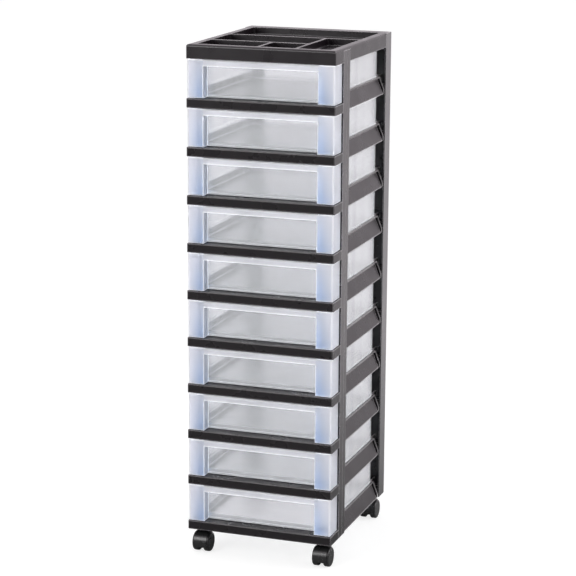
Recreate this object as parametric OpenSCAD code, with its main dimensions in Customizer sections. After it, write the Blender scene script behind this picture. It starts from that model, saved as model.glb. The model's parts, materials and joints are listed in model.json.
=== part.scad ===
// Rolling storage tower: stacked pull-out drawers in a dark moulded frame, a divided tray on top and
// four twin-wheel casters. Millimetres, +Z up, drawers pull out towards -Y. The origin is on the floor
// under the middle of the tower.

/* [Tower] */
// Width over the frame
tower_w = 306; // [280:1:400]
// Depth from the front bars to the back of the rear posts
tower_d = 362; // [320:1:460]
// Number of drawers, each on its own tier frame
tier_count = 10; // [2:1:10]
// Height from one tier frame to the next
tier_pitch = 96; // [84:1:130]
// Height of the lowest tier frame above the floor
base_h = 51; // [50:0.5:70]

/* [Tier frame] */
// Height of the front and rear bars
bar_h = 18.5; // [17.5:0.5:24]
// Depth of the front bar, back to the front post
front_bar_d = 49; // [45:1:60]
// Depth of the rear bar
rear_bar_d = 14; // [9:1:24]
// Wall of the tier frames
frame_wall = 2.5; // [1.8:0.1:3.2]
// Cross ribs inside each bar
bar_ribs = 5; // [1:1:9]
// Height of the ledge that carries the drawer, above the underside of the frame
ledge_h = 37; // [32:0.5:46]
// Width of the ledge, from the web beside the drawer out to the post
ledge_w = 9.2; // [7:0.1:12]
// How far the slanted rail leans in, from its foot to the ledge
rail_lean = 14.5; // [11:0.1:17]
// Height of the rail's foot above the underside of the frame
rail_foot = 2.5; // [1:0.1:6]
// Height on the outside where the rim at the rail's rear end runs out
rim_foot = 11.5; // [8:0.5:16]
// Gap between the rear end of the rail and the rear post
rail_gap = 10; // [4:0.5:20]
// Length of the stop behind the drawer, at the rear end of the ledge
stop_l = 4.5; // [3:0.1:8]
// Height of that stop above the ledge
stop_h = 4; // [2:0.1:6]
// Height of the groove between the slanted rail and the ledge above it
rail_groove = 2.2; // [1:0.1:3]
// Gap between the slanted rail and the rim at its rear end
rail_slot = 4.5; // [2:0.5:8]
// Radius of the long outer edges
edge_r = 1.5; // [0.5:0.1:2.2]

/* [Posts] */
// Width of the front post on the side of the tower
front_post_w = 40; // [28:1:60]
// Depth of the front post's channel
front_post_t = 9.8; // [8:0.1:14]
// Width of the rear post on the side of the tower
rear_post_w = 36; // [26:1:50]
// Width of the rear post across the back of the tower
rear_post_back = 31; // [18:1:40]
// Wall of the posts
post_wall = 2.5; // [1.8:0.1:3.2]
// Width of the groove down the front post
groove_w = 1.6; // [0.8:0.1:3]
// Depth of that groove
groove_d = 0.7; // [0.3:0.1:1.2]
// Distance of that groove from the front edge of the post
groove_in = 22; // [16:0.5:24]

/* [Drawer] */
// Wall and floor of the drawer
drawer_wall = 2; // [1.4:0.1:2.6]
// How far the drawer front stands in from the side of the frame
front_inset = 2; // [0.5:0.1:4]
// Depth of the wide front, from its face to just before the post
front_d = 46; // [30:0.5:46.5]
// Width of the cheek on each side of the pull
cheek_w = 33.5; // [22:0.5:60]
// Depth of the recess of the pull
pull_d = 22; // [16:0.5:30]
// Height of the band above the recess
band_h = 12; // [8:0.5:20]
// Gap below the drawer, over the front bar
floor_gap = 2; // [0.5:0.1:4]
// Gap above the drawer, under the next frame
rim_gap = 1; // [0.5:0.1:4]
// Gap between the lower tub and the web on each side
tub_gap = 1; // [0.3:0.1:2]
// How far the upper tub rests over each ledge
lip_w = 5.5; // [3:0.1:6]
// Running gap between that lip and the ledge
lip_gap = 0.3; // [0.1:0.05:0.6]
// Gap between the back of the drawer and its stop
stop_gap = 0.5; // [0.3:0.1:2]
// Radius of the upright corners of the front
front_corner_r = 3; // [2.8:0.1:6]
// Radius of the upright corners of the tub
tub_corner_r = 7; // [4:0.5:14]
// Height of the bead round the rim of the tub
bead_h = 3; // [2:0.1:6]
// How far that bead stands out from the tub
bead_out = 1.5; // [0.5:0.1:2]

/* [Organizer tray] */
// Height of the tray
tray_h = 28; // [22:0.5:45]
// Depth of the compartments
tray_depth = 15; // [12:0.5:18]
// Radius between the walls and the floor of the compartments
tray_foot_r = 2.5; // [1:0.5:4]
// Floor of the tray, and the walls round its compartments
tray_floor = 2.5; // [1.5:0.1:3]
// Width of the rim at the front and the sides
tray_rim = 16; // [12:0.5:20]
// Width of the rim at the back
back_rim = 26; // [12:0.5:32]
// Thickness of the skirt round the tray
tray_skirt = 5; // [4.6:0.1:8]
// Radius of the upper outer edges of the tray
tray_edge_r = 4.5; // [1.5:0.5:4.5]
// Thickness of the dividers
divider_t = 5; // [2:0.5:8]
// Distance from the front to the middle of the long cross divider
back_divider = 200; // [160:1:250]
// Distance from the front to the middle of the short cross divider
front_divider = 97; // [60:1:130]
// Distance of the right divider from the middle of the tray, to the right
right_divider = 67; // [30:1:100]
// Distance of the left divider from the middle of the tray, to the left
left_divider = 10; // [-10:1:60]
// Radius of the corners of the compartments
pocket_r = 5; // [2:0.5:10]
// Thickness of the rim's cap over the front posts
tray_cap = 5; // [4.5:0.5:8]

/* [Casters] */
// Radius of the wheels
wheel_r = 20; // [16:0.5:20]
// Width of each wheel
wheel_w = 12.5; // [8:0.5:14]
// Thickness of the web between the two wheels
web_t = 9.6; // [9.4:0.1:12]
// Gap between the web and each wheel
wheel_gap = 0.4; // [0.3:0.1:1]
// Distance from the swivel stem to the axle
trail = 12; // [8:0.5:14]
// Distance of the stem from the side of the tower
stem_in_x = 24; // [23:0.5:38]
// Distance of the stem from the front or the back of the tower
stem_in_y = 36; // [34:0.5:37]
// Radius of the stem
stem_r = 3.5; // [2.5:0.1:3.8]
// Radius of the axle
axle_r = 2.5; // [1.5:0.1:3.5]
// Radial running clearance on the stem and the axle
run_fit = 0.05; // [0.03:0.01:0.1]
// Width of the hood over the wheels
hood_w = 27; // [20:0.5:28]
// Wall of the hood
hood_wall = 1.6; // [1.2:0.1:2.4]
// Height of the lower edge of the hood and the web above the floor
hood_skirt = 12; // [6:0.5:14]

/* [Hidden] */
$fn = 64;
over = 1;                                  // how far a cut runs past a face
half_w = tower_w / 2;
tray_z = base_h + tier_count * tier_pitch;
post_x = half_w - front_post_t;            // inner edge of the front post, and outer edge of the ledge
web_x = post_x - ledge_w;                  // drawer side of the upright web beside the tub
post_back = front_bar_d + front_post_w;    // rear edge of the front post
rear_post_y = tower_d - rear_post_w;       // front edge of the rear post
rail_end = rear_post_y - rail_gap;
rear_bar_y = tower_d - post_wall - rear_bar_d;
ledge_t = frame_wall;
member_y = front_bar_d - frame_wall / 2;   // where the side members start, inside the rear wall of the bar
tongue_t = 4;                              // height of the tongues that lock a frame into the front post

drawer_z = bar_h + floor_gap;              // underside of the drawer above its tier frame
drawer_top = tier_pitch - rim_gap;
front_half = half_w - front_inset;
pull_half = front_half - cheek_w;
tub_half = web_x - tub_gap;                // lower tub, between the webs
upper_half = web_x + lip_w;                // upper tub, over the ledges
lip_z = ledge_h + lip_gap;
drawer_d = rail_end - stop_l - stop_gap;
flange_t = drawer_wall;                    // flange that closes the top of the pull

stem_x = half_w - stem_in_x;
stem_y = tower_d / 2 - stem_in_y;
collar_r = stem_r + 4;
collar_t = 1.5;
end_gap = 0.5;                             // free length at the ends of the stem and the axle
boss_wall = 3.5;                           // wall round the stem, in the frame and in the hood
socket_roof = 4.5;                         // solid part of the frame above the stem
socket_depth = bar_h - socket_roof;
hood_gap = 0.4;                            // room between the hood and the collar and treads that turn by it
hood_top = base_h - collar_t - hood_gap;
hood_in = wheel_r + hood_gap;
hood_out = hood_in + hood_wall;
stem_low = wheel_r + 4;                    // lower end of the stem
hub_depth = wheel_w - 3;                   // blind bore of the wheel
ring_w = 1;                                // ring on the axle that keeps the wheel on
ring_out = 0.4;
block_margin = 4;                          // room beside the collar in the pocket for a rear caster

TIERS = [for (n = [1 : tier_count]) str(n < 10 ? "0" : "", n)];
CORNERS = [["front_left", -1, -1], ["front_right", 1, -1], ["rear_left", -1, 1], ["rear_right", 1, 1]];
CASTER_PIECES = ["stem", "hood", "axle", "wheel_left", "wheel_right"];

BLACK = "#2d2a2c";
FROSTED = [0.86, 0.9, 0.96, 0.6];
STEEL = "#b9bcc0";

// ---- Profiles and placing ----

// Rectangle centred on X, from y = 0 back to y = depth, with rounded front and rear corners
module plan(width, depth, front_r, rear_r) {
  translate([-width / 2, front_r])
    square([width, depth - front_r - rear_r]);
  translate([-width / 2 + front_r, 0])
    square([width - 2 * front_r, depth / 2]);
  translate([-width / 2 + rear_r, depth / 2])
    square([width - 2 * rear_r, depth / 2]);
  for (side = [-1, 1]) {
    if (front_r > 0)
      translate([side * (width / 2 - front_r), front_r])
        circle(front_r);
    if (rear_r > 0)
      translate([side * (width / 2 - rear_r), depth - rear_r])
        circle(rear_r);
  }
}

// The children, drawn in Y and Z, run along X for the given length, centred
module along_x(length) {
  translate([-length / 2, 0, 0])
    rotate([90, 0, 90])
      linear_extrude(length)
        children();
}

// The children, drawn in X and Z, run along Y from one place to another
module along_y(from_y, to_y) {
  translate([0, to_y, 0])
    rotate([90, 0, 0])
      linear_extrude(to_y - from_y)
        children();
}

// What a round edge takes off a corner at the origin, for a body that lies on the + side of both axes
module edge_cut(r) {
  difference() {
    translate([-over, -over])
      square(r + over);
    translate([r, r])
      circle(r);
  }
}

module both_sides() {
  children();
  mirror([1, 0, 0])
    children();
}

// From the front edge of the tower back, and from the underside of a tier up
module at_tier(n) {
  translate([0, -tower_d / 2, base_h + (n - 1) * tier_pitch])
    children();
}

module at_caster(corner) {
  translate([corner[1] * stem_x, corner[2] * stem_y, 0])
    mirror([0, corner[2] < 0 ? 1 : 0, 0])
      children();
}

// ---- Tier frame ----

// Bar that is hollow from below, with cross ribs
module bar(width, depth, front_r) {
  inner_w = width - 2 * frame_wall;
  difference() {
    linear_extrude(bar_h)
      plan(width, depth, front_r, 0);
    translate([-inner_w / 2, frame_wall, -over])
      cube([inner_w, depth - 2 * frame_wall, bar_h - frame_wall + over]);
  }
  for (i = [1 : bar_ribs])
    translate([-inner_w / 2 + i * inner_w / (bar_ribs + 1) - frame_wall / 2, frame_wall / 2, bar_h / 3])
      cube([frame_wall, depth - frame_wall, bar_h * 2 / 3 - frame_wall / 2]);
}

module front_bar() {
  difference() {
    bar(tower_w, front_bar_d, edge_r);
    along_x(tower_w + 2 * over)
      edge_cut(edge_r);
    translate([0, 0, bar_h])
      mirror([0, 0, 1])
        along_x(tower_w + 2 * over)
          edge_cut(edge_r);
  }
}

// Web beside the tub, ledge, slanted rail and the stop behind the drawer, on the right
module side_member() {
  ledge_under = ledge_h - ledge_t;
  slant = rail_lean / (ledge_h - rail_foot);
  wall_run = frame_wall / cos(atan(slant));  // the slanted wall, along X
  shelf_z = ledge_under - rail_groove;       // top of the slanted rail, a shelf that runs in to the web
  shelf_x = half_w - slant * (shelf_z - rail_foot);
  along_y(member_y, rear_bar_y + frame_wall)
    translate([web_x, rail_foot])
      square([frame_wall, ledge_h - rail_foot]);
  along_y(member_y, rail_end)
    translate([web_x, ledge_under])
      square([ledge_w, ledge_t]);
  along_y(post_back, rail_end - frame_wall - rail_slot)
    polygon([
      [half_w, rail_foot],
      [shelf_x, shelf_z],
      [web_x + frame_wall / 2, shelf_z],
      [web_x + frame_wall / 2, shelf_z - frame_wall],
      [shelf_x + slant * frame_wall - wall_run, shelf_z - frame_wall],
      [half_w - wall_run, rail_foot]
    ]);
  along_y(rail_end - frame_wall, rail_end)
    polygon([
      [web_x, ledge_h],
      [post_x, ledge_h],
      [half_w, rim_foot],
      [half_w, rail_foot],
      [half_w - wall_run, rail_foot],
      [web_x, ledge_under - ledge_t]
    ]);
  translate([web_x, rail_end - stop_l, ledge_under])
    cube([lip_w, stop_l, ledge_t + stop_h]);
  for (z = [rail_foot, ledge_h - tongue_t])
    translate([web_x, front_bar_d + post_wall, z])
      cube([half_w - post_wall - web_x, front_post_w - 2 * post_wall, tongue_t]);
}

// The children once at each caster stem of the lowest frame
module at_stems() {
  for (side = [-1, 1], y = [stem_in_y, tower_d - stem_in_y])
    translate([side * stem_x, y, 0])
      children();
}

// Pocket in a rear corner of the lowest frame, round the boss for a rear caster
module rear_block() {
  block_x = stem_x - collar_r - block_margin;
  block_y = tower_d - stem_in_y - collar_r - block_margin;
  width = web_x + frame_wall / 2 - block_x;
  depth = rear_bar_y + frame_wall / 2 - block_y;
  difference() {
    translate([block_x, block_y, 0])
      cube([width, depth, bar_h]);
    translate([block_x + frame_wall, block_y + frame_wall, -over])
      cube([width - 2 * frame_wall, depth - 2 * frame_wall, bar_h - frame_wall + over]);
  }
}

module tier_frame(lowest) {
  color(BLACK)
    difference() {
      union() {
        front_bar();
        translate([0, rear_bar_y, 0])
          bar(tower_w - 2 * post_wall, rear_bar_d, 0);
        both_sides()
          side_member();
        if (lowest) {
          both_sides()
            rear_block();
          at_stems()
            cylinder(r = stem_r + boss_wall, h = bar_h - frame_wall / 2);
        }
      }
      if (lowest)
        at_stems()
          translate([0, 0, -over])
            cylinder(r = stem_r, h = socket_depth + over);
    }
}

// ---- Posts ----

// Channel that is open towards the drawers; its outer wall runs on up into the tray
module front_post() {
  height = tier_count * tier_pitch;
  color(BLACK)
    translate([0, -tower_d / 2, base_h])
      difference() {
        union() {
          translate([post_x, front_bar_d, 0])
            cube([front_post_t, front_post_w, height]);
          translate([half_w - post_wall, front_bar_d, 0])
            cube([post_wall, front_post_w, height + tray_h - tray_cap]);
        }
        translate([post_x - over, front_bar_d + post_wall, -over])
          cube([front_post_t - post_wall + over, front_post_w - 2 * post_wall, height + 2 * over]);
        translate([half_w - groove_d, front_bar_d + groove_in - groove_w / 2, -over])
          cube([groove_d + over, groove_w, height + tray_h]);
        translate([half_w, post_back, -over])
          rotate(180)
            linear_extrude(height + tray_h)
              edge_cut(edge_r);
      }
}

// Angle that closes the rear corner up to the top of the tray
module rear_post() {
  color(BLACK)
    translate([half_w, tower_d / 2, base_h])
      rotate(180)
        linear_extrude(tier_count * tier_pitch + tray_h)
          difference() {
            square([rear_post_back, rear_post_w]);
            translate([post_wall, post_wall])
              square([rear_post_back, rear_post_w]);
            edge_cut(edge_r);
            translate([0, rear_post_w])
              mirror([0, 1])
                edge_cut(edge_r / 2);
          }
}

// ---- Drawer ----

// Outside of the tub behind the front: narrow between the webs, wider over the ledges
module tub_outside() {
  tub_y = front_d - front_corner_r;
  translate([0, tub_y, drawer_z])
    linear_extrude(lip_z - drawer_z + drawer_wall)
      plan(2 * tub_half, drawer_d - tub_y, 0, tub_corner_r);
  translate([0, tub_y, lip_z])
    linear_extrude(drawer_top - lip_z)
      plan(2 * upper_half, drawer_d - tub_y, 0, tub_corner_r);
  translate([0, tub_y, drawer_top - bead_h])
    linear_extrude(bead_h)
      plan(2 * (upper_half + bead_out), drawer_d - tub_y, 0, tub_corner_r);
}

module drawer_inside() {
  wall = drawer_wall;
  inner_r = tub_corner_r - wall;
  height = drawer_top - drawer_z;
  translate([0, wall, drawer_z + wall])
    linear_extrude(height)
      plan(2 * (front_half - wall), front_d - 2 * wall, front_corner_r - wall, front_corner_r - wall);
  translate([0, wall, drawer_z + wall])
    linear_extrude(height)
      plan(2 * (tub_half - wall), drawer_d - 2 * wall, 0, inner_r);
  translate([0, wall, lip_z + wall])
    linear_extrude(height)
      plan(2 * (upper_half - wall), drawer_d - 2 * wall, 0, inner_r);
}

module drawer() {
  wall = drawer_wall;
  band_z = drawer_top - band_h;
  color(FROSTED)
    difference() {
      union() {
        translate([0, 0, drawer_z])
          linear_extrude(drawer_top - drawer_z)
            plan(2 * front_half, front_d, front_corner_r, front_corner_r);
        tub_outside();
      }
      difference() {
        drawer_inside();
        translate([-pull_half - wall, 0, drawer_z])
          cube([2 * (pull_half + wall), pull_d + wall, drawer_top]);
      }
      translate([-pull_half, -over, drawer_z - over])
        cube([2 * pull_half, pull_d + over, band_z - drawer_z + over]);
      translate([-pull_half, wall, band_z - over])
        cube([2 * pull_half, pull_d - wall, band_h - flange_t + over]);
    }
}

// ---- Organizer tray ----

// Compartment with rounded corners, and rounded where its walls meet the floor
module pocket(left, right, front, back) {
  width = right - left;
  depth = back - front;
  height = tray_depth + over;
  translate([(left + right) / 2, front, tray_h - tray_depth])
    intersection() {
      linear_extrude(height)
        plan(width, depth, pocket_r, pocket_r);
      along_y(-over, depth + over)
        plan(width, height, tray_foot_r, 0);
      translate([0, depth / 2, 0])
        along_x(width + 2 * over)
          plan(depth, height, tray_foot_r, 0);
    }
}

module tray_pockets() {
  side = half_w - tray_rim;
  half_t = divider_t / 2;
  pocket(-side, side, back_divider + half_t, tower_d - back_rim);
  pocket(-side, right_divider - half_t, front_divider + half_t, back_divider - half_t);
  pocket(-side, -left_divider - half_t, tray_rim, front_divider - half_t);
  pocket(half_t - left_divider, right_divider - half_t, tray_rim, front_divider - half_t);
  pocket(right_divider + half_t, side, tray_rim, back_divider - half_t);
}

// Room under the tray: inside the skirt, below the rim and round the block that holds the compartments
module tray_underside() {
  wall = tray_floor;
  under = tray_h - tray_depth - tray_floor;
  difference() {
    translate([-half_w + tray_skirt, tray_skirt, -over])
      cube([tower_w - 2 * tray_skirt, tower_d - 2 * tray_skirt, tray_h - tray_edge_r + over]);
    translate([-half_w + tray_rim - wall, tray_rim - wall, under])
      cube([tower_w - 2 * (tray_rim - wall), tower_d - tray_rim - back_rim + 2 * wall, tray_h]);
  }
}

module organizer_tray() {
  color(BLACK)
    translate([0, -tower_d / 2, tray_z])
      difference() {
        linear_extrude(tray_h)
          plan(tower_w, tower_d, edge_r, 0);
        tray_pockets();
        tray_underside();
        translate([0, 0, tray_h])
          mirror([0, 0, 1])
            along_x(tower_w + 2 * over)
              edge_cut(tray_edge_r);
        both_sides() {
          translate([half_w, 0, tray_h])
            mirror([1, 0, 0])
              mirror([0, 0, 1])
                along_y(-over, rear_post_y)
                  edge_cut(tray_edge_r);
          translate([half_w - post_wall, front_bar_d, -over])
            cube([post_wall + over, front_post_w, tray_h - tray_cap + over]);
          translate([half_w - post_wall, rear_post_y, -over])
            cube([post_wall + over, rear_post_w + over, tray_h + 2 * over]);
          translate([half_w - rear_post_back, tower_d - post_wall, -over])
            cube([rear_post_back + over, post_wall + over, tray_h + 2 * over]);
        }
      }
}

// ---- Casters: the stem stands on the origin and the wheels trail towards +Y ----

module caster_stem() {
  color(STEEL) {
    translate([0, 0, stem_low])
      cylinder(r = stem_r, h = base_h + socket_depth - end_gap - stem_low);
    translate([0, 0, base_h - collar_t])
      cylinder(r = collar_r, h = collar_t);
  }
}

// Side view of the web and the hood: round about the axle and cut off level at the skirt
module hood_side(r) {
  intersection() {
    translate([trail, wheel_r])
      circle(r);
    translate([trail - r - over, hood_skirt])
      square([2 * (r + over), 2 * r]);
  }
}

module caster_hood() {
  boss_r = stem_r + boss_wall;
  color(BLACK)
    difference() {
      union() {
        along_x(hood_w)
          hood_side(hood_out);
        translate([0, 0, wheel_r])
          cylinder(r = boss_r, h = hood_top - wheel_r);
      }
      both_sides()
        translate([web_t / 2, trail, wheel_r])
          rotate([0, 90, 0])
            cylinder(r = hood_in, h = hood_w);
      translate([-hood_w, trail, wheel_r])
        rotate([0, 90, 0])
          cylinder(r = axle_r, h = 2 * hood_w);
      translate([0, 0, stem_low - end_gap])
        cylinder(r = stem_r + run_fit, h = base_h);
    }
}

module caster_axle() {
  half = web_t / 2 + wheel_gap + hub_depth - end_gap;
  ring_x = web_t / 2 + wheel_gap + hub_depth / 2;
  color(STEEL)
    translate([0, trail, wheel_r]) {
      translate([-half, 0, 0])
        rotate([0, 90, 0])
          cylinder(r = axle_r, h = 2 * half);
      both_sides()
        translate([ring_x, 0, 0])
          rotate([0, 90, 0])
            cylinder(r = axle_r + ring_out, h = ring_w);
    }
}

// Half section of a wheel: X is the distance from the axle and Y the distance from the inner face
module wheel_section() {
  tread_r = 3;                             // rounded shoulders of the tread
  rim_t = 3.5;
  hub_r = axle_r + 3;
  bore_r = axle_r + run_fit;
  hollow = wheel_r - rim_t - hub_r;        // between the hub and the rim, from the inner face
  hollow_d = wheel_w * 0.6;
  difference() {
    union() {
      square([wheel_r - tread_r, wheel_w]);
      translate([0, tread_r])
        square([wheel_r, wheel_w - 2 * tread_r]);
      for (y = [tread_r, wheel_w - tread_r])
        translate([wheel_r - tread_r, y])
          circle(tread_r);
    }
    translate([-over, -over])
      square([bore_r + over, hub_depth + over]);
    translate([-over, hub_depth / 2 - run_fit])
      square([bore_r + ring_out + over, ring_w + 2 * run_fit]);
    translate([hub_r, -over])
      square([hollow, hollow_d + over]);
  }
}

module caster_wheel() {
  color(BLACK)
    translate([web_t / 2 + wheel_gap, trail, wheel_r])
      rotate([0, 90, 0])
        rotate_extrude()
          wheel_section();
}

// ---- Pieces ----

organizer_tray();
for (corner = CORNERS)
  mirror([corner[1] < 0 ? 1 : 0, 0, 0]) {
      if (corner[2] < 0) front_post();
      if (corner[2] > 0) rear_post();
    }
for (n = [1 : tier_count]) {
  at_tier(n) tier_frame(n == 1);
  at_tier(n) drawer();
}
for (corner = CORNERS) {
  caster = str(corner[0], "_caster_");
  at_caster(corner) caster_stem();
  at_caster(corner) caster_hood();
  at_caster(corner) caster_axle();
  at_caster(corner) mirror([1, 0, 0]) caster_wheel();
  at_caster(corner) caster_wheel();
}
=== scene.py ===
# Rolling drawer tower in a plain studio: satin black frame, frosted pull-out drawers and
# glossy twin-wheel casters.
import json
import math

import bpy
from mathutils import Matrix, Vector

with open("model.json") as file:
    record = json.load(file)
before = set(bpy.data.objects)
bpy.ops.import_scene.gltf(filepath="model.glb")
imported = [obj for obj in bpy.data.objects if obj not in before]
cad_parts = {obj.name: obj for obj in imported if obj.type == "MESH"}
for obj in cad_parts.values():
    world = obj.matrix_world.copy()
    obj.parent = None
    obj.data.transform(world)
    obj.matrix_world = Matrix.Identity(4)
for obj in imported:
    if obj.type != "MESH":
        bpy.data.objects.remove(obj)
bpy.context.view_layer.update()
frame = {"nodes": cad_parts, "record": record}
nodes = frame["nodes"]
print("frame loaded with", len(nodes), "nodes")


# The camera stands where the photograph was taken from.
shot = {
    "place": (1.407, -4.005, 1.520),
    "turn": 0.3388,    # radians, towards -X
    "tilt": -0.2296,
    "roll": -0.0061,
    "focal": 2134,     # pixels, in a picture 576 pixels wide
    "picture": 576,
}


def makeCamera():
    lens = bpy.data.cameras.new("tripodCamera")
    lens.sensor_width = 36
    lens.lens = shot["focal"] / shot["picture"] * lens.sensor_width
    camera = bpy.data.objects.new("tripodCamera", lens)
    camera.matrix_world = (
        Matrix.Translation(shot["place"])
        @ Matrix.Rotation(shot["turn"], 4, "Z")
        @ Matrix.Rotation(shot["tilt"], 4, "X")
        @ Matrix.Rotation(shot["roll"], 4, "Y")
        @ Matrix.Rotation(math.pi / 2, 4, "X")
    )
    bpy.context.collection.objects.link(camera)
    bpy.context.scene.camera = camera


makeCamera()
print("camera set")


def addNode(tree, kind, x, y, **settings):
    node = tree.nodes.new(kind)
    node.location = (x, y)
    for name, value in settings.items():
        setattr(node, name, value)
    return node


def feed(tree, socket, value):
    # A plain value is set on the socket, and anything else is linked to it.
    if isinstance(value, bpy.types.NodeSocket):
        tree.links.new(value, socket)
    else:
        socket.default_value = value


def mathNode(tree, operation, x, y, first, second=0.0, clamp=False):
    node = addNode(tree, "ShaderNodeMath", x, y, operation=operation, use_clamp=clamp)
    feed(tree, node.inputs[0], first)
    feed(tree, node.inputs[1], second)
    return node.outputs[0]


def ramp(tree, x, y, value, fromLow, fromHigh, toLow=0.0, toHigh=1.0):
    node = addNode(tree, "ShaderNodeMapRange", x, y)
    for name, amount in (("Value", value), ("From Min", fromLow), ("From Max", fromHigh),
                         ("To Min", toLow), ("To Max", toHigh)):
        feed(tree, node.inputs[name], amount)
    return node.outputs["Result"]


def colourMix(tree, x, y, factor, first, second):
    node = addNode(tree, "ShaderNodeMix", x, y, data_type="RGBA")
    feed(tree, node.inputs["Factor"], factor)
    feed(tree, node.inputs["A"], first)
    feed(tree, node.inputs["B"], second)
    return node.outputs["Result"]


def newGroup(name, takes, gives):
    group = bpy.data.node_groups.new(name, "ShaderNodeTree")
    for socketName, value in takes.items():
        socket = group.interface.new_socket(socketName, in_out="INPUT", socket_type="NodeSocketFloat")
        socket.default_value = value
    for socketName, kind in gives.items():
        group.interface.new_socket(socketName, in_out="OUTPUT", socket_type="NodeSocket" + kind)
    return group, addNode(group, "NodeGroupInput", -1200, 0), addNode(group, "NodeGroupOutput", 600, 0)


def placeGroup(tree, group, x, y, values):
    node = addNode(tree, "ShaderNodeGroup", x, y, node_tree=group)
    for name, value in values.items():
        node.inputs[name].default_value = value
    return node


def newMaterial(name):
    material = bpy.data.materials.new(name)
    material.use_nodes = True
    return material, material.node_tree, material.node_tree.nodes["Principled BSDF"]


def paint(material, names):
    for name in names:
        for slot in nodes[name].material_slots:
            slot.material = material


# Fine spark-eroded grain over slow cloudy patches of gloss, as a mould leaves it on plastic.
def makeGrainGroup():
    group, takes, gives = newGroup(
        "mouldedGrain",
        {"Grain Size": 0.0006, "Cloud Size": 0.03, "Depth": 0.00002},
        {"Clouds": "Float", "Normal": "Vector"},
    )
    place = addNode(group, "ShaderNodeTexCoord", -1200, 300).outputs["Object"]

    def noise(size, y, detail):
        node = addNode(group, "ShaderNodeTexNoise", -700, y, noise_dimensions="3D")
        node.inputs["Detail"].default_value = detail
        group.links.new(place, node.inputs["Vector"])
        group.links.new(mathNode(group, "DIVIDE", -950, y, 1.0, size), node.inputs["Scale"])
        return node.outputs["Fac"]

    grain = noise(takes.outputs["Grain Size"], 300, 2)
    clouds = noise(takes.outputs["Cloud Size"], 0, 4)
    bump = addNode(group, "ShaderNodeBump", 200, -200)
    height = mathNode(group, "MULTIPLY", 0, -200, grain, takes.outputs["Depth"])
    group.links.new(height, bump.inputs["Height"])
    bump.inputs["Distance"].default_value = 1.0
    group.links.new(clouds, gives.inputs["Clouds"])
    group.links.new(bump.outputs["Normal"], gives.inputs["Normal"])
    return group


# One where a corner is within reach, and nothing out on the flats: the mask for the painted highlights and
# painted glow along corners.
def makeEdgeGroup():
    group, takes, gives = newGroup(
        "cornerHighlightMask",
        {"Reach": 0.001, "Softness": 0.25},
        {"Edge": "Float"},
    )
    bevel = addNode(group, "ShaderNodeBevel", -900, 0, samples=4)
    group.links.new(takes.outputs["Reach"], bevel.inputs["Radius"])
    flat = addNode(group, "ShaderNodeNewGeometry", -900, -200)
    dot = addNode(group, "ShaderNodeVectorMath", -650, 0, operation="DOT_PRODUCT")
    group.links.new(bevel.outputs["Normal"], dot.inputs[0])
    group.links.new(flat.outputs["Normal"], dot.inputs[1])
    turned = mathNode(group, "SUBTRACT", -400, 0, 1.0, dot.outputs["Value"], clamp=True)
    edge = mathNode(group, "DIVIDE", -150, 0, turned, takes.outputs["Softness"], clamp=True)
    group.links.new(edge, gives.inputs["Edge"])
    return group


# Where the drawer changes from a clear window to frosted cheeks and on to the tub, in metres.
drawerMarks = {
    "halfWindow": 0.1175,         # half the window's width
    "window": (-0.1600, -0.1565), # the window's wall, along Y
    "tubFront": -0.1345,          # behind this the tub is clearer than the cheeks
    "cheek": (0.128, 0.151),      # the cheek's painted blue shade fades out along X from here to here
    "lowest": 0.051,              # foot of the lowest tier
    "pitch": 0.096,
    "fade": (0.35, 0.95),         # and the painted shade fades up each tier from here to here, as a share of the pitch
    "fadedPaintedShade": 0.25,            # what is left of the painted blue shade up there
}


def makeWindowGroup():
    marks = drawerMarks
    group, takes, gives = newGroup(
        "drawerWindow",
        {"Half Width": marks["halfWindow"], "Front": marks["window"][0], "Back": marks["window"][1],
         "Tub Front": marks["tubFront"], "Cheek Inside": marks["cheek"][0], "Cheek Outside": marks["cheek"][1],
         "Lowest": marks["lowest"], "Pitch": marks["pitch"]},
        {"Window": "Float", "Tub": "Float", "Cheek": "Float"},
    )
    place = addNode(group, "ShaderNodeTexCoord", -1200, 300).outputs["Object"]
    axes = addNode(group, "ShaderNodeSeparateXYZ", -1000, 300)
    group.links.new(place, axes.inputs[0])
    aside = mathNode(group, "ABSOLUTE", -800, 400, axes.outputs["X"])
    within = mathNode(group, "LESS_THAN", -600, 400, aside, takes.outputs["Half Width"])
    behind = mathNode(group, "GREATER_THAN", -600, 200, axes.outputs["Y"], takes.outputs["Front"])
    before = mathNode(group, "LESS_THAN", -600, 0, axes.outputs["Y"], takes.outputs["Back"])
    wide = mathNode(group, "MULTIPLY", -400, 200, within, behind)
    window = mathNode(group, "MULTIPLY", -200, 200, wide, before)
    tub = mathNode(group, "GREATER_THAN", -400, -200, axes.outputs["Y"], takes.outputs["Tub Front"])
    group.links.new(window, gives.inputs["Window"])
    group.links.new(tub, gives.inputs["Tub"])
    # The Cheek mask places a painted blue shade: strongest by the window's sides, fading outwards along X and
    # up each tier.
    inside, outside = takes.outputs["Cheek Inside"], takes.outputs["Cheek Outside"]
    outwards = ramp(group, -400, 700, aside, inside, outside, 1, 0)
    beside = mathNode(group, "GREATER_THAN", -400, 500, aside, takes.outputs["Half Width"])
    above = mathNode(group, "SUBTRACT", -800, 900, axes.outputs["Z"], takes.outputs["Lowest"])
    tiers = mathNode(group, "DIVIDE", -600, 900, above, takes.outputs["Pitch"])
    upTier = mathNode(group, "FRACT", -400, 900, tiers)
    upwards = ramp(group, -200, 900, upTier, *marks["fade"], 1, marks["fadedPaintedShade"])
    inner = mathNode(group, "MULTIPLY", -200, 600, outwards, beside)
    cheek = mathNode(group, "MULTIPLY", 0, 600, inner, upwards)
    group.links.new(cheek, gives.inputs["Cheek"])
    return group


cloudRange = (0.3, 0.7)   # the clouds' low and high, between which a finish goes from glossy to dull


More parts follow.
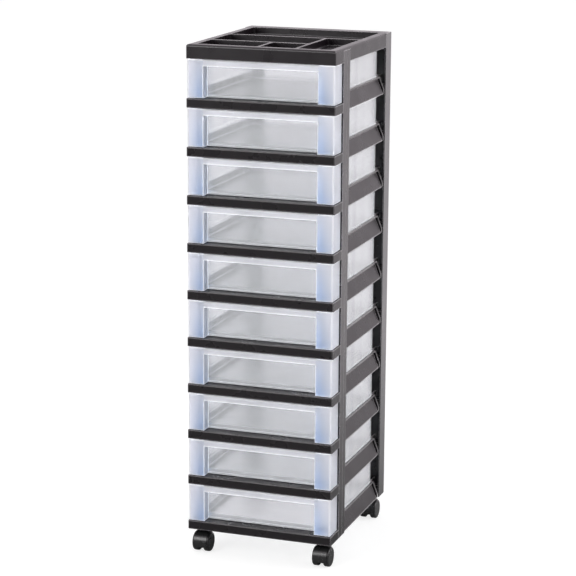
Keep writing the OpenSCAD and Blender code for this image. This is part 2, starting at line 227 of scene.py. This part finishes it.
def addGrain(tree, skin, look, x=-900, y=0):
    grain = placeGroup(tree, grainGroup, x, y, {
        "Grain Size": look["grainSize"], "Cloud Size": look["cloudSize"], "Depth": look["grainDepth"]})
    tree.links.new(grain.outputs["Normal"], skin.inputs["Normal"])
    return grain


def addCloudyGloss(tree, skin, look):
    grain = addGrain(tree, skin, look)
    rough = ramp(tree, -400, 0, grain.outputs["Clouds"], *cloudRange, *look["roughness"])
    tree.links.new(rough, skin.inputs["Roughness"])


grainGroup = makeGrainGroup()
edgeGroup = makeEdgeGroup()
windowGroup = makeWindowGroup()
print("shared effects built")


blackLook = {
    # painted highlight: the light grey that the base colour turns to along the corners
    "paintedHighlightColour": (0.6, 0.57, 0.59, 1),
    "roughness": (0.24, 0.34),
    "grainSize": 0.0007,
    "cloudSize": 0.045,
    "grainDepth": 0.00002,
    "coatRoughness": 0.25,
    "coatSide": 0.1524,    # only the outer sides of the posts have a coat, out past this along X
}

# Each black moulding: its colour, shine and coat, and the reach and softness of the painted highlight, a light
# grey base colour, along its corners.
blackMouldings = {
    "tray": {"colour": (0.0095, 0.006, 0.0085, 1), "shine": 0.5, "coat": 0.0, "edge": (0.0022, 0.3)},
    "tierFrame": {"colour": (0.013, 0.0105, 0.0125, 1), "shine": 0.38, "coat": 0.0, "edge": (0.003, 0.22)},
    "frontPost": {"colour": (0.0095, 0.006, 0.0085, 1), "shine": 0.5, "coat": 0.35, "edge": (0.0022, 0.3)},
    "rearPost": {"colour": (0.006, 0.005, 0.007, 1), "shine": 0.38, "coat": 0.9, "edge": (0.0022, 0.3)},
}


def makeBlackPlastic(piece):
    material, tree, skin = newMaterial(piece + "Plastic")
    look, own = blackLook, blackMouldings[piece]
    skin.inputs["Specular IOR Level"].default_value = own["shine"]
    if own["coat"]:
        place = addNode(tree, "ShaderNodeTexCoord", -1300, -400).outputs["Object"]
        axes = addNode(tree, "ShaderNodeSeparateXYZ", -1100, -400)
        tree.links.new(place, axes.inputs[0])
        aside = mathNode(tree, "ABSOLUTE", -900, -400, axes.outputs["X"])
        outer = mathNode(tree, "GREATER_THAN", -700, -400, aside, look["coatSide"])
        coat = mathNode(tree, "MULTIPLY", -500, -400, outer, own["coat"])
        tree.links.new(coat, skin.inputs["Coat Weight"])
        skin.inputs["Coat Roughness"].default_value = look["coatRoughness"]
    addCloudyGloss(tree, skin, look)
    reach, softness = own["edge"]
    # Painted highlight: the base colour turns light grey along every corner.
    edge = placeGroup(tree, edgeGroup, -900, 300, {"Reach": reach, "Softness": softness})
    base = colourMix(tree, -400, 300, edge.outputs["Edge"], own["colour"], look["paintedHighlightColour"])
    tree.links.new(base, skin.inputs["Base Color"])
    return material


frostedLook = {
    "colour": (0.95, 0.96, 0.99, 1),
    # painted blue shade in the cheeks
    "paintedCheekShade": (0.67, 0.77, 0.94, 1),
    "tubColour": (0.975, 0.99, 1.0, 1),
    "streakColour": (0.85, 0.86, 0.88, 1),
    "streaksPerMetre": 38,
    "streakRange": (0.45, 0.7),
    "edge": (0.0024, 0.1),      # reach and softness of the painted highlight and painted glow along its corners
    "paintedHighlightColour": (1, 1, 1, 1),
    "paintedGlowColour": (0.95, 0.97, 1, 1),   # painted glow along the corners, given off as emission though the walls are no lamp
    "paintedEdgeGlow": 0.65,
    "transmission": 0.8,
    "ior": 1.3,
    "cheekRoughness": 0.45,
    "tubRoughness": 0.22,
    "windowRoughness": 0.12,
    "lampTint": (0.85, 0.86, 0.87, 1),  # what each wall lets through of a lamp's light
    "grainSize": 0.0012,
    "cloudSize": 0.06,
    "grainDepth": 0.00003,
}


def makeFrostedPlastic():
    material, tree, skin = newMaterial("frostedPlastic")
    look = frostedLook
    skin.inputs["Transmission Weight"].default_value = look["transmission"]
    skin.inputs["IOR"].default_value = look["ior"]
    addGrain(tree, skin, look, -1100, -300)
    window = placeGroup(tree, windowGroup, -1100, 0, {})
    reach, softness = look["edge"]
    edge = placeGroup(tree, edgeGroup, -1100, 300, {"Reach": reach, "Softness": softness})

    # The window is the glossiest, then the tub, and the cheeks are the dullest.
    tubRough = ramp(tree, -700, -100, window.outputs["Tub"], 0, 1, look["cheekRoughness"], look["tubRoughness"])
    rough = addNode(tree, "ShaderNodeMix", -450, -100, data_type="FLOAT")
    tree.links.new(window.outputs["Window"], rough.inputs["Factor"])
    tree.links.new(tubRough, rough.inputs["A"])
    rough.inputs["B"].default_value = look["windowRoughness"]
    tree.links.new(rough.outputs["Result"], skin.inputs["Roughness"])

    # Upright streaks along the tub, a painted blue shade in the cheeks, and painted white highlights along the
    # corners.
    place = addNode(tree, "ShaderNodeTexCoord", -1500, 800).outputs["Object"]
    along = addNode(tree, "ShaderNodeMapping", -1300, 800)
    along.inputs["Scale"].default_value = (0, look["streaksPerMetre"], 0)
    tree.links.new(place, along.inputs["Vector"])
    streaks = addNode(tree, "ShaderNodeTexNoise", -1100, 800)
    streaks.inputs["Scale"].default_value = 1.0
    tree.links.new(along.outputs["Vector"], streaks.inputs["Vector"])
    streaky = ramp(tree, -900, 800, streaks.outputs["Fac"], *look["streakRange"])
    tub = colourMix(tree, -700, 800, streaky, look["tubColour"], look["streakColour"])
    front = colourMix(tree, -900, 500, window.outputs["Cheek"], look["colour"], look["paintedCheekShade"])
    clear = mathNode(tree, "MAXIMUM", -900, 150, window.outputs["Tub"], window.outputs["Window"])
    tint = colourMix(tree, -700, 200, clear, front, tub)
    base = colourMix(tree, -450, 300, edge.outputs["Edge"], tint, look["paintedHighlightColour"])
    tree.links.new(base, skin.inputs["Base Color"])
    # Painted glow: the corners give off light as emission.
    glow = colourMix(tree, -450, 600, edge.outputs["Edge"], (0, 0, 0, 1), look["paintedGlowColour"])
    tree.links.new(glow, skin.inputs["Emission Color"])
    skin.inputs["Emission Strength"].default_value = look["paintedEdgeGlow"]

    # Lamp light passes straight through, so the drawers are lit inside.
    rays = addNode(tree, "ShaderNodeLightPath", -900, -700)
    lampLight = addNode(tree, "ShaderNodeBsdfTransparent", 0, -500)
    lampLight.inputs["Color"].default_value = look["lampTint"]
    mixed = addNode(tree, "ShaderNodeMixShader", 350, 100)
    tree.links.new(rays.outputs["Is Shadow Ray"], mixed.inputs["Fac"])
    tree.links.new(skin.outputs["BSDF"], mixed.inputs[1])
    tree.links.new(lampLight.outputs["BSDF"], mixed.inputs[2])
    tree.links.new(mixed.outputs["Shader"], tree.nodes["Material Output"].inputs["Surface"])
    return material


casterLook = {
    "colour": (0.016, 0.016, 0.0165, 1),
    "roughness": (0.24, 0.34),
    "coat": 0.12,
    "grainSize": 0.0015,
    "cloudSize": 0.012,
    "grainDepth": 0.00001,
}


def makeCasterPlastic():
    material, tree, skin = newMaterial("glossyCasterPlastic")
    look = casterLook
    skin.inputs["Base Color"].default_value = look["colour"]
    skin.inputs["Coat Weight"].default_value = look["coat"]
    addCloudyGloss(tree, skin, look)
    return material


steelLook = {
    "colour": (0.56, 0.57, 0.6, 1),
    "roughness": (0.22, 0.4),
    "grainSize": 0.0004,
    "cloudSize": 0.004,
    "grainDepth": 0.000006,
}


def makeSteel():
    material, tree, skin = newMaterial("zincPlatedSteel")
    look = steelLook
    skin.inputs["Base Color"].default_value = look["colour"]
    skin.inputs["Metallic"].default_value = 1.0
    addCloudyGloss(tree, skin, look)
    return material


def dressFrame():
    finishes = {
        "black_plastic": makeBlackPlastic("tierFrame"),
        "frosted_plastic": makeFrostedPlastic(),
        "caster_plastic": makeCasterPlastic(),
        "steel": makeSteel(),
    }
    for part in frame["record"]["subparts"]:
        paint(finishes[part["material_slot"]], [part["node"]])
    paint(makeBlackPlastic("tray"), ["organizer_tray"])
    paint(makeBlackPlastic("frontPost"), ["front_left_post", "front_right_post"])
    paint(makeBlackPlastic("rearPost"), ["rear_left_post", "rear_right_post"])


dressFrame()
print("materials on")


studio = {
    "backdrop": 1.0,                  # what the camera, gloss and clear plastic see behind the object
    "front": 0.25,                    # what gloss sees on the camera's side
    "frontToBack": (-0.7, 0.2),       # where one changes to the other, as a direction's Y
    "overhead": 1.0,                  # what gloss sees of the ceiling softboxes
    "ceiling": (0.25, 0.6),           # where they come in, as a direction's Z
    "fill": 0.6,                      # even light from all round
    "glossTint": (1, 0.93, 0.98, 1),  # the walls of the room, as gloss sees them
}


def seenStraight(tree, rays, x, y):
    # One for what the camera sees, itself or through clear plastic.
    return mathNode(tree, "MAXIMUM", x, y, rays.outputs["Is Camera Ray"], rays.outputs["Is Transmission Ray"])


def makeWorld():
    world = bpy.data.worlds.new("studio")
    bpy.context.scene.world = world
    world.use_nodes = True
    tree = world.node_tree
    light = tree.nodes["Background"]
    rays = addNode(tree, "ShaderNodeLightPath", -1100, 400)
    seen = seenStraight(tree, rays, -700, 400)
    place = addNode(tree, "ShaderNodeTexCoord", -1100, 0).outputs["Generated"]
    axes = addNode(tree, "ShaderNodeSeparateXYZ", -900, 0)
    tree.links.new(place, axes.inputs[0])
    around = ramp(tree, -700, 0, axes.outputs["Y"], *studio["frontToBack"], studio["front"], studio["backdrop"])
    above = ramp(tree, -700, -250, axes.outputs["Z"], *studio["ceiling"], 0, studio["overhead"])
    gloss = mathNode(tree, "MAXIMUM", -550, -100, around, above)
    glossy = addNode(tree, "ShaderNodeMix", -450, 100, data_type="FLOAT")
    tree.links.new(rays.outputs["Is Glossy Ray"], glossy.inputs["Factor"])
    glossy.inputs["A"].default_value = studio["fill"]
    tree.links.new(gloss, glossy.inputs["B"])
    strength = addNode(tree, "ShaderNodeMix", -200, 200, data_type="FLOAT")
    tree.links.new(seen, strength.inputs["Factor"])
    tree.links.new(glossy.outputs["Result"], strength.inputs["A"])
    strength.inputs["B"].default_value = studio["backdrop"]
    tint = colourMix(tree, -200, 500, rays.outputs["Is Glossy Ray"], (1, 1, 1, 1), studio["glossTint"])
    tree.links.new(tint, light.inputs["Color"])
    tree.links.new(strength.outputs["Result"], light.inputs["Strength"])


floorLook = {
    "size": 80,
    "colour": (0.4, 0.4, 0.4, 1),
    "roughness": 0.9,
    "shine": 0.1,
    "lift": 0.75,           # brings it up to white for the camera and behind clear plastic
    "sheen": 0.6,           # and behind the object for gloss,
    "sheenFrom": (0, 2.0),  # rising from here to here along Y
}


def makeFloor():
    half = floorLook["size"] / 2
    mesh = bpy.data.meshes.new("studioFloor")
    corners = [(-half, -half, 0), (half, -half, 0), (half, half, 0), (-half, half, 0)]
    mesh.from_pydata(corners, [], [(0, 1, 2, 3)])
    floor = bpy.data.objects.new("studioFloor", mesh)
    bpy.context.collection.objects.link(floor)
    material, tree, skin = newMaterial("paleFloor")
    skin.inputs["Base Color"].default_value = floorLook["colour"]
    skin.inputs["Roughness"].default_value = floorLook["roughness"]
    skin.inputs["Specular IOR Level"].default_value = floorLook["shine"]
    rays = addNode(tree, "ShaderNodeLightPath", -900, 0)
    seen = seenStraight(tree, rays, -650, 100)
    place = addNode(tree, "ShaderNodeTexCoord", -1100, -300).outputs["Object"]
    axes = addNode(tree, "ShaderNodeSeparateXYZ", -900, -300)
    tree.links.new(place, axes.inputs[0])
    behind = ramp(tree, -700, -300, axes.outputs["Y"], *floorLook["sheenFrom"], 0, floorLook["sheen"])
    sheen = mathNode(tree, "MULTIPLY", -450, -200, behind, rays.outputs["Is Glossy Ray"])
    lift = mathNode(tree, "MULTIPLY", -450, 100, seen, floorLook["lift"])
    tint = colourMix(tree, -250, 300, rays.outputs["Is Glossy Ray"], (1, 1, 1, 1), studio["glossTint"])
    tree.links.new(tint, skin.inputs["Emission Color"])
    glow = mathNode(tree, "MAXIMUM", -250, 0, sheen, lift)
    tree.links.new(glow, skin.inputs["Emission Strength"])
    mesh.materials.append(material)


lamps = {
    "keySoftbox": {"place": (-1.6, -2.8, 1.9), "aim": (0, 0, 0.5), "size": (1.6, 1.6), "power": 50},
    "sideSoftbox": {"place": (2.6, 0.6, 1.6), "aim": (0, 0, 0.6), "size": (1.2, 2.0), "power": 30},
}


def makeLamps():
    for name, look in lamps.items():
        lamp = bpy.data.lights.new(name, "AREA")
        lamp.shape = "RECTANGLE"
        lamp.size, lamp.size_y = look["size"]
        lamp.energy = look["power"]
        holder = bpy.data.objects.new(name, lamp)
        holder.location = look["place"]
        towards = Vector(look["aim"]) - Vector(look["place"])
        holder.rotation_euler = towards.to_track_quat("-Z", "Y").to_euler()
        bpy.context.collection.objects.link(holder)


makeWorld()
makeFloor()
makeLamps()
bpy.context.scene.view_settings.view_transform = "Standard"
print("studio lit")
